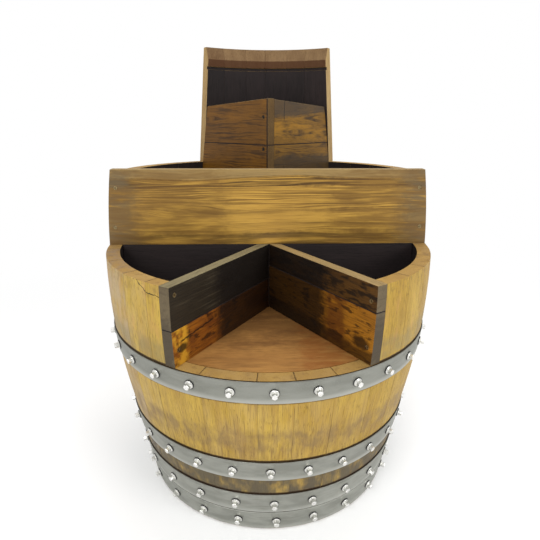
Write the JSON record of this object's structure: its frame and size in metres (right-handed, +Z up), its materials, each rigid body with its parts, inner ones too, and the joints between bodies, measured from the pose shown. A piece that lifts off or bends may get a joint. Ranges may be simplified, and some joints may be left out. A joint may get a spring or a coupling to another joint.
{
  "type": "barrel bar cabinet",
  "caption": "Bar display made from a wine barrel: stepped oak staves in steel hoops, boarded notch for an ice bucket, open tiers for bottles.",
  "frame": {"origin": "on the floor, under the middle of the barrel", "axes": "+Z up along the barrel's axis, -Y towards the open front, +X to the right seen from the front"},
  "size_m": [0.7078, 0.7068, 0.95],
  "materials": {
    "stave_oak": "golden oak staves, worn varnish, sanded saw cuts",
    "deck_oak": "sanded light oak, oiled",
    "board_oak": "golden brown oak, varnished",
    "notch_oak": "dark stained oak from the barrel's inside",
    "prow_oak": "walnut brown stained oak with knots",
    "floor_black": "board painted matt black",
    "cleat_wood": "raw sawn softwood",
    "hoop_steel": "galvanised strip steel, dull grey",
    "screw_zinc": "bright zinc plated steel",
    "washer_zinc": "zinc plated steel bonded to black rubber"
  },
  "bodies": {
    "root": {"stave_01": "stave_oak", "stave_02": "stave_oak", "stave_03": "stave_oak", "stave_04": "stave_oak", "stave_05": "stave_oak", "stave_06": "stave_oak", "stave_07": "stave_oak", "stave_08": "stave_oak", "stave_09": "stave_oak", "stave_10": "stave_oak", "stave_11": "stave_oak", "stave_12": "stave_oak", "stave_13": "stave_oak", "stave_14": "stave_oak", "stave_15": "stave_oak", "stave_16": "stave_oak", "stave_17": "stave_oak", "stave_18": "stave_oak", "stave_19": "stave_oak", "stave_20": "stave_oak", "stave_21": "stave_oak", "stave_22": "stave_oak", "stave_23": "stave_oak", "stave_24": "stave_oak", "stave_25": "stave_oak", "stave_26": "stave_oak", "stave_27": "stave_oak", "stave_28": "stave_oak", "lower_head_boards": "stave_oak", "deck_boards": "deck_oak", "deck_cleats": "cleat_wood", "notch_lower_board_left": "notch_oak", "notch_upper_board_left": "notch_oak", "notch_lower_board_right": "notch_oak", "notch_upper_board_right": "notch_oak", "well_back_board": "notch_oak", "tier_board": "board_oak", "prow_lower_board_left": "prow_oak", "prow_lower_board_right": "prow_oak", "prow_upper_board_left": "prow_oak", "prow_upper_board_right": "prow_oak", "well_floor_left": "floor_black", "well_floor_right": "floor_black", "tier_floor": "floor_black", "tier_floor_cleats": "cleat_wood", "top_floor": "floor_black", "top_floor_cleats": "cleat_wood", "board_screws": "screw_zinc", "foot_hoop": "hoop_steel", "chime_hoop": "hoop_steel", "quarter_hoop": "hoop_steel", "bilge_hoop": "hoop_steel", "foot_hoop_screws": "screw_zinc", "chime_hoop_screws": "screw_zinc", "quarter_hoop_screws": "screw_zinc", "bilge_hoop_screws": "screw_zinc", "hoop_screw_washers": "washer_zinc", "hoop_rivets": "hoop_steel"}
  },
  "joints": []
}
